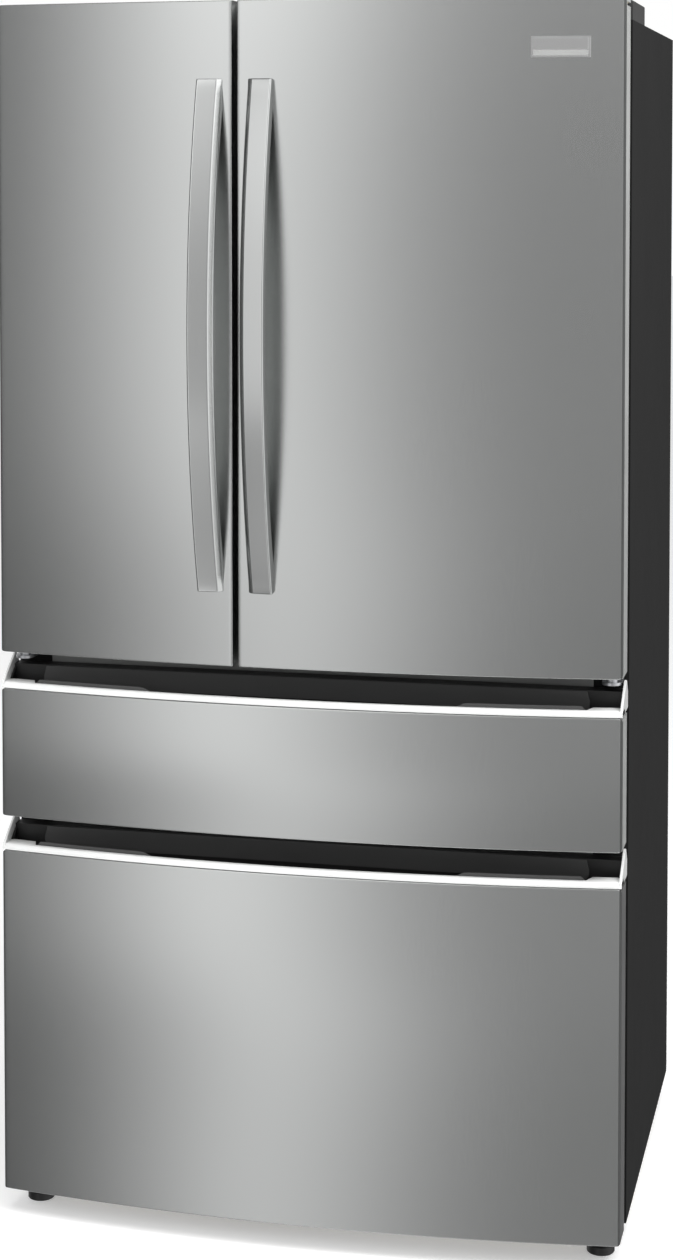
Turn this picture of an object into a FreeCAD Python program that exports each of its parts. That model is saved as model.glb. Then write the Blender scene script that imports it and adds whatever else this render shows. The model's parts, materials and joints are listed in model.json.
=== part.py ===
"""French door refrigerator with two drawers, in millimetres.

The origin is on the floor, at the middle of the overall box. +Z is up, and the front faces -Y.
"""
import FreeCAD, Part

import math
import os

V = FreeCAD.Vector

# Overall size
WIDTH = 911.0
HEIGHT = 1781.0
DEPTH = 791.0
Y_BACK = DEPTH / 2

# Doors and drawer fronts
CROWN = 33.4                    # how far the middle of the front stands out past its side corners
Y_CORNER = -Y_BACK + 93.0        # plane through the front's side corners; the handles stand out to -Y_BACK
DOOR_DEPTH = 70.0
GASKET_GAP = 11.0
Y_DOOR_REAR = Y_CORNER + DOOR_DEPTH
Y_CABINET = Y_DOOR_REAR + GASKET_GAP
X_SIDE = WIDTH / 2
CROWN_RADIUS = (X_SIDE ** 2 + CROWN ** 2) / (2 * CROWN)
SPLIT_X = -91.5                 # middle of the gap between the doors
SPLIT_GAP = 8.0
DOOR_Z = (837.0, HEIGHT)
FLEX_Z = (594.0, 783.0)         # skin of the middle drawer
FREEZER_Z = (36.0, 543.0)       # skin of the freezer drawer
SKIN = 1.5
SKIN_RETURN = 6.0
FRAME_WALL = 3.0
FRAME_STEP = 0.5                # the frame sits this far inside the skin's outline
FRAME_ROUND = 12.0              # of its rear corners
LINER_EDGE = 22.0               # a door's liner stops this far inside the outer side

# Cabinet
CABINET_Z = (36.0, 1753.0)
SHEET = 2.0
SIDE_FOAM_X = 405.0             # outer face of the liners
LINER = 2.0
FRIDGE_Z = (855.0, 1706.0)
FLEX_BAY_Z = (610.0, 792.0)
FREEZER_BAY_Z = (98.0, 552.0)
LINER_BACK_Y = 338.0
STEP_Y = 190.0                  # the freezer steps up here, over the machine compartment
STEP_Z = 300.0
MACHINE_Y = 230.0
MACHINE_TOP_Z = 260.0
FOAM_BOTTOM_Z = 62.0

# Hinges
PIN_X = 435.0                   # 20.5 from the side, so that a door opens to 115 degrees
PIN_Y = Y_CORNER + 46.0
PIN_R = 4.95
BORE_R = 5.0
ARM_HALF = 13.5
ARM_SLOT_GAP = 0.8              # above and below the arm in its slot
BOSS_HALF = 15.0
BOSS_REACH = 42.0
PLATE = 4.0                     # thickness of the top hinge's plate
PLATE_LENGTH = 122.0
COVER_SIZE = (112.0, 163.0)     # along X and Y
COVER_WALL = 2.5
SCREW_R = 2.5
SCREW_HOLE_R = 2.6
SCREW_DEPTH = 14.0
TOP_ARM_Z = (1770.0, 1774.0)
MID_ARM_Z = (821.0, 825.0)
PIN_REACH = 24.0                # how far a pin goes into a door

# Folding bar on the left door
MULLION_PIN = (-146.0, Y_CABINET + 7.5)
MULLION_Z = (872.0, 1688.0)
MULLION_END_X = -93.5
MULLION_PIN_R = 2.5

# Inside of the doors
DYKE_Z = (870.0, 1690.0)        # raised rim that holds the bins
DYKE_DEPTH = 62.0
DYKE_WALL = 24.0
BIN_DEPTH = 102.0
BIN_HEIGHT = 95.0
LEFT_BIN_Z = (900.0, 1130.0, 1380.0)
RIGHT_BIN_Z = (900.0, 1160.0, 1420.0)

# Handles
HANDLE_X = (-127.0, -53.0)
HANDLE_WIDTH = 36.0
HANDLE_Z = (944.0, 1671.0)
HANDLE_THICK = 13.0
HANDLE_END = 9.0                # front of a handle's end to the skin
HANDLE_FOOT = 42.0

# Drawers
TRIM = 9.0
POCKET_WALL_Y = Y_CORNER + 45.0
POCKET_DEPTH = 38.0
WALL_RISE = 28.0                # top of the trough's rear wall above the skin
WING_RISE = 43.0
TRIM_DEPTH = 11.0
TRIM_CHAMFER = 4.5
WING = 4.0
POCKET_GAP = 1.0                # between a skin's sheet and the trough behind it
POCKET_WALL = 3.0
RAIL_Y = (Y_DOOR_REAR, 175.0)

# Inside of the refrigerator and the machine compartment
SHELF = 14.0                    # height of a shelf frame
GLASS = (8.0, 13.0)             # glass above the underside of its frame
LEFT_SHELF_Z = (1230.0, 1480.0)
RIGHT_SHELF_Z = (1290.0, 1530.0)
CRISPER_COVER_Z = 1052.0
CONDENSER_FAN = (-120.0, 312.0, 166.0)
EVAPORATOR_FAN = (0.0, 283.0, 486.0)
FAN_SHAFT_R = 3.0
FAN_BORE_R = 3.05
TUBE_R = 4.0
FIN = 1.5

parts = {}


def box(x0, x1, y0, y1, z0, z1):
    return Part.makeBox(x1 - x0, y1 - y0, z1 - z0, V(x0, y0, z0))


def rod(x, y, z, radius, length, axis=V(0, 0, 1)):
    return Part.makeCylinder(radius, length, V(x, y, z), axis)


def tube(x, y, z, radius, bore, length, axis=V(0, 0, 1)):
    return rod(x, y, z, radius, length, axis).cut(rod(x, y, z, bore, length, axis))


def fuse(shapes):
    return shapes[0].multiFuse(shapes[1:]).removeSplitter()


def mirrored(shape):
    return shape.mirror(V(0, 0, 0), V(1, 0, 0))


def pair(shape):
    """A right-hand piece and its mirror image."""
    return Part.makeCompound([shape, mirrored(shape)])


def crown_y(x):
    """Y of the crowned front at x."""
    return Y_CORNER - (math.sqrt(CROWN_RADIUS ** 2 - x ** 2) - (CROWN_RADIUS - CROWN))


def crowned(x0, x1, inset, y_back, z0, z1):
    """A solid with a crowned front, set back by inset, and a flat back."""
    middle = (x0 + x1) / 2
    front = [V(x, crown_y(x) + inset, z0) for x in (x0, middle, x1)]
    back = [V(x1, y_back, z0), V(x0, y_back, z0)]
    edges = [Part.Arc(*front).toShape()]
    edges.append(Part.makeLine(front[2], back[0]))
    edges.append(Part.makeLine(back[0], back[1]))
    edges.append(Part.makeLine(back[1], front[0]))
    return Part.Face(Part.Wire(edges)).extrude(V(0, 0, z1 - z0))


def crowned_strip(x0, x1, y_front, y_rear, z0, z1):
    """A strip that follows the crown, between two distances behind it."""
    outer = [V(x, crown_y(x) + y_front, z0) for x in (x0, (x0 + x1) / 2, x1)]
    inner = [V(x, crown_y(x) + y_rear, z0) for x in (x1, (x0 + x1) / 2, x0)]
    edges = [Part.Arc(*outer).toShape()]
    edges.append(Part.makeLine(outer[2], inner[0]))
    edges.append(Part.Arc(*inner).toShape())
    edges.append(Part.makeLine(inner[2], outer[0]))
    return Part.Face(Part.Wire(edges)).extrude(V(0, 0, z1 - z0))


def vertical_edges(shape, x, y, reach=0.6):
    """Edges along Z that stand at x, y."""
    found = []
    for edge in shape.Edges:
        ends = [vertex.Point for vertex in edge.Vertexes]
        if len(ends) == 2 and all(abs(p.x - x) < reach and abs(p.y - y) < reach for p in ends):
            found.append(edge)
    return found


def side_profile(points, x0, x1):
    """A prism along X from (y, z) points."""
    loop = [V(x0, y, z) for y, z in points]
    return Part.Face(Part.makePolygon(loop + loop[:1])).extrude(V(x1 - x0, 0, 0))


def open_bin(x0, x1, y0, y1, z0, z1, wall):
    """A box with no top."""
    return box(x0, x1, y0, y1, z0, z1).cut(box(x0 + wall, x1 - wall, y0 + wall, y1 - wall, z0 + wall, z1 + 1))


def ring(x0, x1, y0, y1, z0, z1, wall):
    """A picture frame in the XZ plane."""
    return box(x0, x1, y0, y1, z0, z1).cut(box(x0 + wall, x1 - wall, y0 - 1, y1 + 1, z0 + wall, z1 - wall))


def skin_pan(x0, x1, z0, z1):
    """Bent sheet front: a crowned face with short returns all round."""
    y_back = Y_CORNER + SKIN_RETURN
    outer = crowned(x0, x1, 0, y_back, z0, z1)
    corners = vertical_edges(outer, x0, crown_y(x0)) + vertical_edges(outer, x1, crown_y(x1))
    outer = outer.makeFillet(2.5, corners)
    return outer.cut(crowned(x0 + SKIN, x1 - SKIN, SKIN, y_back + 1, z0 + SKIN, z1 - SKIN))


def front_frame(x0, x1, z0, z1, round_x):
    """Side, top, bottom and rear walls behind a skin. Its rear corners at round_x are rounded."""
    step = FRAME_STEP
    y_front = Y_CORNER + SKIN_RETURN + 1.0
    outer = box(x0 + step, x1 - step, y_front, Y_DOOR_REAR, z0 + step, z1 - step)
    wall = step + FRAME_WALL
    y_inside = Y_DOOR_REAR - FRAME_WALL
    hollow = box(x0 + wall, x1 - wall, y_front - 1, y_inside, z0 + wall, z1 - wall)
    outer_corners, hollow_corners = [], []
    for x in round_x:
        outer_corners += vertical_edges(outer, x, Y_DOOR_REAR)
        hollow_corners += vertical_edges(hollow, x, y_inside, 4.0)
    outer = outer.makeFillet(FRAME_ROUND, outer_corners)
    return outer.cut(hollow.makeFillet(FRAME_ROUND - FRAME_WALL, hollow_corners))


def screw_spots():
    """X and Y of the three screws in the right top hinge."""
    y = Y_CABINET + 3
    return [(PIN_X - 34, y + 24), (PIN_X, y + 60), (PIN_X - 20, y + 104)]


def at_screws(radius, z, height):
    """Rods at all six screws of the top hinges."""
    spots = [(side * x, y) for x, y in screw_spots() for side in (1, -1)]
    return Part.makeCompound([rod(x, y, z, radius, height) for x, y in spots])


def cabinet():
    """Outer shell, rear panel, insulation, liners and cross rails."""
    x = X_SIDE
    z0, z1 = CABINET_Z
    shell = box(-x, x, Y_CABINET, Y_BACK - SHEET, z0, z1)
    shell = shell.cut(box(-x + SHEET, x - SHEET, Y_CABINET + SHEET, Y_BACK, z0 - 1, z1 - SHEET))
    w = SIDE_FOAM_X
    opening = box(-w, w, Y_CABINET - 1, Y_CABINET + SHEET + 1, FREEZER_BAY_Z[0], FRIDGE_Z[1])
    screw_holes = at_screws(SCREW_HOLE_R, z1 - SCREW_DEPTH - 0.5, SCREW_DEPTH + 1)
    parts["cabinet_shell"] = shell.cut(opening).cut(screw_holes)
    parts["rear_panel"] = box(-x, x, Y_BACK - SHEET, Y_BACK, MACHINE_TOP_Z + 5, z1)

    inner = x - SHEET
    y0 = Y_CABINET + SHEET
    y1 = Y_BACK - SHEET
    side = box(w, inner, y0, y1, FOAM_BOTTOM_Z, z1 - SHEET)
    blocks = [side, mirrored(side)]
    blocks.append(box(-w, w, y0, y1, FRIDGE_Z[1], z1 - SHEET))
    blocks.append(box(-w, w, LINER_BACK_Y, y1, STEP_Z, FRIDGE_Z[1]))
    blocks.append(box(-w, w, y0, LINER_BACK_Y, FLEX_BAY_Z[1], FRIDGE_Z[0]))
    blocks.append(box(-w, w, y0, LINER_BACK_Y, FREEZER_BAY_Z[1], FLEX_BAY_Z[0]))
    blocks.append(box(-w, w, y0, STEP_Y, FOAM_BOTTOM_Z, FREEZER_BAY_Z[0]))
    blocks.append(box(-w, w, STEP_Y, MACHINE_Y, FOAM_BOTTOM_Z, STEP_Z))
    blocks.append(box(-w, w, MACHINE_Y, y1, MACHINE_TOP_Z, STEP_Z))
    parts["cabinet_foam"] = Part.makeCompound([block.cut(screw_holes) for block in blocks])

    v = w - LINER
    y_wall = LINER_BACK_Y - LINER
    for name, bay in (("fridge_liner", FRIDGE_Z), ("flex_liner", FLEX_BAY_Z)):
        tub = box(-w, w, Y_CABINET, LINER_BACK_Y, bay[0], bay[1])
        parts[name] = tub.cut(box(-v, v, Y_CABINET - 1, y_wall, bay[0] + LINER, bay[1] - LINER))
    low, high = FREEZER_BAY_Z
    tub = box(-w, w, Y_CABINET, STEP_Y, low, high).fuse(box(-w, w, STEP_Y, LINER_BACK_Y, STEP_Z, high))
    hollow = box(-v, v, Y_CABINET - 1, STEP_Y - LINER, low + LINER, high - LINER)
    hollow = hollow.fuse(box(-v, v, STEP_Y - LINER - 1, y_wall, STEP_Z + LINER, high - LINER))
    parts["freezer_liner"] = tub.removeSplitter().cut(hollow)

    rails = [box(-w, w, Y_CABINET, y0, FLEX_BAY_Z[1], FRIDGE_Z[0])]
    rails.append(box(-w, w, Y_CABINET, y0, FREEZER_BAY_Z[1], FLEX_BAY_Z[0]))
    parts["cross_rails"] = Part.makeCompound(rails)


def base():
    """Side channels with roller axles, cross bars, machine plate, rollers and levelling feet."""
    channel = (407.0, 447.0)
    gauge = 3.0
    top = FOAM_BOTTOM_Z
    rollers = {"front_rollers": (-150.0, 20.0), "rear_rollers": (340.0, 22.0)}    # Y and radius
    axle_z = 22.0
    axle_r = 4.0
    wheel_width = channel[1] - channel[0] - 10
    y0 = Y_CABINET + 4
    y1 = Y_BACK - 8
    pieces = [box(channel[0], channel[1], y0, y1, top - gauge, top)]
    for x in (channel[0], channel[1] - gauge):
        pieces.append(box(x, x + gauge, y0, y1, 38.0, top - gauge))
        for y, _ in rollers.values():
            pieces.append(box(x, x + gauge, y - 14, y + 14, 14.0, 38.0))
    for y, _ in rollers.values():
        pieces.append(rod(channel[0], y, axle_z, axle_r, channel[1] - channel[0], V(1, 0, 0)))
    foot_x = 421.0
    foot_y = Y_CORNER + 65.0
    lug = box(foot_x - 21, foot_x + 21, foot_y - 20, Y_CABINET + 40, 25.0, 31.0)
    lug = lug.fuse(box(foot_x - 14, foot_x + 21, Y_CABINET + 37, Y_CABINET + 40, 25.0, 60.0))
    pieces.append(lug.cut(rod(foot_x, foot_y, 20.0, 6.0, 20.0)))
    right = fuse(pieces)
    w = channel[0]
    bars = [box(-w, w, y0, y0 + 20, 40.0, top)]
    bars.append(box(-w, w, MACHINE_Y + 2, y1, top - 4, top))
    parts["base_frame"] = fuse([right, mirrored(right)] + bars)

    for name, (y, radius) in rollers.items():
        wheel = tube(channel[0] + 5, y, axle_z, radius, axle_r + 0.05, wheel_width, V(1, 0, 0))
        rims = [edge for edge in wheel.Edges if abs(edge.Length - 2 * math.pi * radius) < 0.01]
        parts[name] = pair(wheel.makeFillet(2.0, rims))

    pad = rod(foot_x, foot_y, 0, 20.0, 13.0)
    pad = pad.makeChamfer(1.5, [edge for edge in pad.Edges if edge.BoundBox.ZLength < 0.01])
    foot = fuse([pad, rod(foot_x, foot_y, 12.0, 11.0, 12.5), rod(foot_x, foot_y, 24.0, 5.9, 9.5)])
    parts["levelling_feet"] = pair(foot)


def hinges():
    """Top and middle hinges with their pins, covers and screws."""
    z0, z1 = TOP_ARM_Z
    top = CABINET_Z[1]
    y_rise = Y_CABINET + 3
    arm = box(PIN_X - ARM_HALF, PIN_X + ARM_HALF, PIN_Y, y_rise + 5, z0, z1)
    arm = arm.fuse(rod(PIN_X, PIN_Y, z0, ARM_HALF, z1 - z0))
    rise = box(PIN_X - ARM_HALF, PIN_X + ARM_HALF, y_rise, y_rise + 5, top, z1)
    plate = box(PIN_X - 44, PIN_X + ARM_HALF, y_rise, y_rise + PLATE_LENGTH, top, top + PLATE)
    pin = rod(PIN_X, PIN_Y, z0 - PIN_REACH, PIN_R, PIN_REACH)
    top_hinge = fuse([arm, rise, plate, pin]).cut(at_screws(SCREW_HOLE_R, top - 1, PLATE + 2))
    pieces = [top_hinge, mirrored(top_hinge)]
    shanks = at_screws(SCREW_R, top - SCREW_DEPTH, SCREW_DEPTH + PLATE).Solids
    heads = at_screws(5.5, top + PLATE, 3.0).Solids
    parts["hinge_screws"] = Part.makeCompound([fuse(list(screw)) for screw in zip(shanks, heads)])

    z0, z1 = MID_ARM_Z
    y_flange = Y_CABINET - 3
    arm = box(PIN_X - ARM_HALF, PIN_X + ARM_HALF, PIN_Y, Y_CABINET, z0, z1)
    arm = arm.fuse(rod(PIN_X, PIN_Y, z0, ARM_HALF, z1 - z0))
    flange = box(PIN_X - 22, PIN_X + ARM_HALF, y_flange, Y_CABINET, z0, 834.0)
    collar = rod(PIN_X, PIN_Y, z1, 8.5, DOOR_Z[0] - 0.3 - z1)
    pin = rod(PIN_X, PIN_Y, z1, PIN_R, DOOR_Z[0] + PIN_REACH - z1)
    mid_hinge = fuse([arm, flange, collar, pin])
    parts["door_hinges"] = Part.makeCompound(pieces + [mid_hinge, mirrored(mid_hinge)])

    x0 = X_SIDE - COVER_SIZE[0]
    y1 = Y_CABINET + COVER_SIZE[1]
    wall = COVER_WALL
    cover = box(x0, X_SIDE, Y_CABINET, y1, top, HEIGHT)
    soft = [edge for edge in cover.Edges if edge.BoundBox.ZMin > HEIGHT - 0.1]
    cover = cover.makeFillet(3.0, soft)
    cover = cover.cut(box(x0 + wall, X_SIDE - wall, Y_CABINET + wall, y1 - wall, top - 1, HEIGHT - wall))
    half = ARM_HALF + 1
    notch = box(PIN_X - half, PIN_X + half, Y_CABINET - 1, Y_CABINET + 3, top - 1, TOP_ARM_Z[1] + 1)
    parts["hinge_covers"] = pair(cover.cut(notch))


def pin_boss(side):
    """Solid corners of a door frame, joined to its outer wall, that take the top and bottom pins."""
    inner_x = side * (PIN_X - BOSS_HALF)
    wall_x = side * (X_SIDE - FRAME_STEP - FRAME_WALL)
    x0, x1 = sorted((inner_x, wall_x))
    y0 = PIN_Y - BOSS_HALF
    y1 = PIN_Y + BOSS_HALF - 8
    z_top = DOOR_Z[1] - FRAME_STEP - FRAME_WALL
    z_low = DOOR_Z[0] + FRAME_STEP + FRAME_WALL
    return box(x0, x1, y0, y1, z_top - BOSS_REACH, z_top), box(x0, x1, y0, y1, z_low, z_low + BOSS_REACH)


def door(side, x0, x1, liner_x, gasket_x):
    """One door: skin, frame, insulation, liner, gasket and bins. side is -1 on the left, 1 on the right."""
    name = "right_door_" if side > 0 else "left_door_"
    z0, z1 = DOOR_Z
    hinge_x = side * PIN_X
    outer_x = side * (X_SIDE - FRAME_STEP)
    parts[name + "skin"] = skin_pan(x0, x1, z0, z1)

    upper, lower = pin_boss(side)
    slot_x = sorted((hinge_x - side * 24, side * (X_SIDE + 1)))
    slot_z = (TOP_ARM_Z[0] - ARM_SLOT_GAP, TOP_ARM_Z[1] + ARM_SLOT_GAP)
    slot = box(slot_x[0], slot_x[1], PIN_Y - 30, Y_DOOR_REAR + 1, slot_z[0], slot_z[1])
    pin_hole = rod(hinge_x, PIN_Y, TOP_ARM_Z[0] - PIN_REACH - 1, BORE_R, PIN_REACH + 1)
    low_hole = rod(hinge_x, PIN_Y, z0 - 1, BORE_R, PIN_REACH + 2)
    gap = FRAME_STEP + FRAME_WALL
    y_inside = Y_DOOR_REAR - FRAME_WALL
    split_x = x0 + gap if side > 0 else x1 - gap
    plate_x = sorted((split_x, side * (X_SIDE - LINER_EDGE)))
    plate = box(plate_x[0], plate_x[1], y_inside, Y_DOOR_REAR, z0 + gap, z1 - gap)
    frame = fuse([front_frame(x0, x1, z0, z1, [outer_x]).cut(plate), upper, lower])
    frame = frame.cut(slot).cut(pin_hole).cut(low_hole)
    parts[name + "frame"] = frame

    foam = crowned(x0 + gap, x1 - gap, SKIN, y_inside, z0 + gap, z1 - gap)
    rounded = vertical_edges(foam, outer_x, y_inside, 4.0)
    foam = foam.makeFillet(FRAME_ROUND - FRAME_WALL, rounded)
    parts[name + "foam"] = foam.cut(upper).cut(lower).cut(slot)

    plate = plate.cut(slot)
    dyke_y = (Y_DOOR_REAR, Y_DOOR_REAR + DYKE_DEPTH)
    dyke = ring(*liner_x, *dyke_y, *DYKE_Z, DYKE_WALL)
    liner = fuse([plate, dyke])
    if side < 0:
        liner = fuse([liner] + mullion_lugs())
    parts[name + "liner"] = liner
    parts[name + "gasket"] = ring(gasket_x[0], gasket_x[1], Y_DOOR_REAR, Y_CABINET - 0.3, 840.0, 1724.0, 16.0)

    bin_x = (liner_x[0] + DYKE_WALL + 0.2, liner_x[1] - DYKE_WALL - 0.2)
    y = Y_DOOR_REAR
    shelves = []
    for z in RIGHT_BIN_Z if side > 0 else LEFT_BIN_Z:
        shelves.append(open_bin(bin_x[0], bin_x[1], y + 0.2, y + BIN_DEPTH, z, z + BIN_HEIGHT, 3.0))
    parts[name + "bins"] = Part.makeCompound(shelves)


def mullion_lugs():
    """Lugs on the left door's liner that hold the folding bar's pins."""
    x, y = MULLION_PIN
    lugs = []
    for z in (MULLION_Z[0] - 8, MULLION_Z[1] + 2):
        lug = box(x - 5, x + 5, Y_DOOR_REAR, y, z, z + 6).fuse(rod(x, y, z, 5.0, 6))
        lugs.append(lug.cut(rod(x, y, z - 1, MULLION_PIN_R + 0.05, 8)))
    return lugs


def mullion():
    """Folding bar behind the gap between the doors."""
    x, y = MULLION_PIN
    z0, z1 = MULLION_Z
    bar = box(x - 4, MULLION_END_X, Y_CABINET + 0.5, Y_CABINET + 14.5, z0, z1)
    bar = bar.makeFillet(3.0, [e for e in bar.Edges if abs(e.BoundBox.ZLength - (z1 - z0)) < 0.01])
    parts["mullion_bar"] = fuse([bar, rod(x, y, z0 - 7.5, MULLION_PIN_R, z1 - z0 + 15)])


def handle(x):
    """Bowed bar with flat feet on the skin and a finger gap behind it."""
    x0 = x - HANDLE_WIDTH / 2
    skin_y = crown_y(x)
    z0, z1 = HANDLE_Z
    middle = (z0 + z1) / 2
    foot = HANDLE_FOOT

    def at(off, z):
        return V(x0, skin_y - off, z)

    stand_off = skin_y + Y_BACK
    inside = stand_off - HANDLE_THICK
    corners = [at(HANDLE_END, z0), at(stand_off, middle), at(HANDLE_END, z1)]
    back = [at(0, z1 - foot), at(inside, middle), at(0, z0 + foot)]
    edges = [Part.Arc(*corners).toShape()]
    edges.append(Part.makeLine(corners[2], at(-4, z1)))
    edges.append(Part.makeLine(at(-4, z1), at(-4, z1 - foot)))
    edges.append(Part.makeLine(at(-4, z1 - foot), back[0]))
    edges.append(Part.Arc(*back).toShape())
    edges.append(Part.makeLine(back[2], at(-4, z0 + foot)))
    edges.append(Part.makeLine(at(-4, z0 + foot), at(-4, z0)))
    edges.append(Part.makeLine(at(-4, z0), corners[0]))
    bar = Part.Face(Part.Wire(edges)).extrude(V(HANDLE_WIDTH, 0, 0))
    long_edges = [e for e in bar.Edges if e.BoundBox.ZLength > z1 - z0 - 1 and e.BoundBox.XLength < 0.1]
    bar = bar.makeFillet(3.5, long_edges)
    return bar.cut(crowned(-X_SIDE, X_SIDE, 0, Y_DOOR_REAR, z0 - 20, z1 + 20))


def badge():
    """Blank badge at the top of the right door, tangent to the crown."""
    x, z = 367.0, 1712.0
    plate = box(-41.5, 41.5, -2.0, 0.0, -14.5, 14.5)
    plate = plate.makeFillet(0.8, [e for e in plate.Edges if e.BoundBox.YMax < -1.9])
    plate.rotate(V(0, 0, 0), V(0, 0, 1), math.degrees(math.asin(x / CROWN_RADIUS)))
    plate.translate(V(x, crown_y(x), z))
    parts["badge"] = plate


def trim_bar(z):
    """Bright trim along the skin's top edge, with an upright wing at each end."""
    bar = crowned_strip(-X_SIDE, X_SIDE, 0, TRIM_DEPTH, z, z + TRIM)
    front = [e for e in bar.Edges if e.BoundBox.ZMin > z + TRIM - 0.1 and e.BoundBox.XLength > 900]
    front.sort(key=lambda e: e.BoundBox.YMin)
    bar = bar.makeChamfer(TRIM_CHAMFER, front[:1])
    y = Y_CORNER
    top = z + WING_RISE
    outline = [(y, z), (y, z + TRIM), (y + 50, top), (y + 56, top), (y + 69, z + 25), (y + 69, z)]
    wing = side_profile(outline, X_SIDE - WING, X_SIDE)
    return fuse([bar, wing, mirrored(wing)])


def pocket(z):
    """Finger trough behind the trim: floor, front and rear walls, end cheeks and ribs."""
    w = X_SIDE - WING
    floor_z = z - POCKET_DEPTH
    top = z + WALL_RISE
    wall = POCKET_WALL
    outer = crowned(-w, w, SKIN + POCKET_GAP, Y_DOOR_REAR, floor_z, top)
    front_cut = crowned(-X_SIDE, X_SIDE, -5, Y_DOOR_REAR + 1, z, top + 1)
    rear_keep = box(-X_SIDE, X_SIDE, POCKET_WALL_Y, Y_DOOR_REAR + 2, z - 1, top + 2)
    outer = outer.cut(front_cut.cut(rear_keep))
    trough = crowned(-w + wall, w - wall, 14.0, POCKET_WALL_Y, floor_z + wall, top + 2)
    rear = box(-w + wall, w - wall, POCKET_WALL_Y + wall, Y_DOOR_REAR - wall, floor_z - 1, top - wall)
    body = outer.cut(trough).cut(rear)
    cheek_line = [(Y_CORNER + 14, z), (Y_CORNER + 50, z + WALL_RISE), (POCKET_WALL_Y + 6, z + WALL_RISE),
                  (POCKET_WALL_Y + 6, z)]
    cheek = side_profile(cheek_line, w - wall, w)
    pieces = [body, cheek, mirrored(cheek)]
    for x0, x1 in ((-415.0, -225.0), (225.0, 415.0)):
        pieces.append(crowned_strip(x0, x1, 11.0, 14.0, z - 2, z + 4))
    return fuse(pieces)


def drawer_front(name, z0, z1, gasket_z):
    """Skin, trim, trough, frame with a rear wall, insulation and gasket of a drawer front."""
    w = X_SIDE
    trough_top = crowned(-w + WING, w - WING, SKIN + POCKET_GAP, Y_DOOR_REAR, z1 - SKIN - 1, z1 + 1)
    parts[name + "_skin"] = skin_pan(-w, w, z0, z1).cut(trough_top)
    parts[name + "_trim"] = trim_bar(z1)
    parts[name + "_pocket"] = pocket(z1)
    gap = FRAME_STEP + FRAME_WALL
    shell = front_frame(-w, w, z0, z1 + 0.5, [w - FRAME_STEP, -w + FRAME_STEP])
    shell = shell.cut(box(-w, w, Y_CORNER, Y_DOOR_REAR + 1, z1 - 5, z1 + 1))
    y_inside = Y_DOOR_REAR - FRAME_WALL
    block = crowned(-w + gap, w - gap, SKIN, y_inside, z0 + gap, z1 - POCKET_DEPTH)
    corners = vertical_edges(block, w - gap, y_inside) + vertical_edges(block, -w + gap, y_inside)
    block = block.makeFillet(FRAME_ROUND - FRAME_WALL, corners)
    trough_room = box(-w + gap, w - gap, Y_CORNER, Y_DOOR_REAR + 1, z1 - POCKET_DEPTH, z1)
    parts[name + "_frame"] = shell.cut(trough_room)
    upper = box(-w + 14, w - 14, POCKET_WALL_Y + 3, y_inside, z1 - POCKET_DEPTH, z1 + WALL_RISE - 3)
    parts[name + "_core"] = Part.makeCompound([block, upper])
    parts[name + "_gasket"] = ring(-426.0, 426.0, Y_DOOR_REAR, Y_CABINET - 0.3, *gasket_z, 14.0)


def drawers():
    """Both drawers with bins and rails."""
    drawer_front("flex_drawer", FLEX_Z[0], FLEX_Z[1], (599.0, 803.0))
    drawer_front("freezer_drawer", FREEZER_Z[0], FREEZER_Z[1], (86.0, 563.0))
    y0, y1 = RAIL_Y
    parts["flex_drawer_bin"] = open_bin(-378.0, 378.0, y0 + 14, y1 - 10, 618.0, 766.0, 3.0)
    parts["freezer_drawer_bin"] = open_bin(-374.0, 374.0, y0 + 14, y1 - 10, 112.0, 335.0, 3.0)
    rest = 364.0
    basket = open_bin(-372.0, 372.0, y0 + 60, y1 - 10, rest, 470.0, 3.0)
    slots = []
    for x in range(-330, 331, 60):
        slots.append(box(x - 18, x + 18, y0 + 59, y0 + 64, rest + 25, rest + 85))
        slots.append(box(x - 18, x + 18, y1 - 15, y1 - 9, rest + 25, rest + 85))
    parts["freezer_basket"] = basket.cut(Part.makeCompound(slots))

    fixed = []
    for name, z, half in (("flex_drawer_rails", 690.0, 378.0), ("freezer_drawer_rails", 350.0, 372.0)):
        moving = box(half, half + 9, y0, y1, z - 14, z + 14)
        parts[name] = pair(moving)
        rail = box(half + 11, SIDE_FOAM_X - LINER, Y_CABINET + 12, y1 + 6, z - 20, z + 20)
        rail = rail.cut(box(half + 10, half + 16, Y_CABINET + 11, y1 + 7, z - 15, z + 15))
        fixed += [rail, mirrored(rail)]
    parts["drawer_rails"] = Part.makeCompound(fixed)


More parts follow.
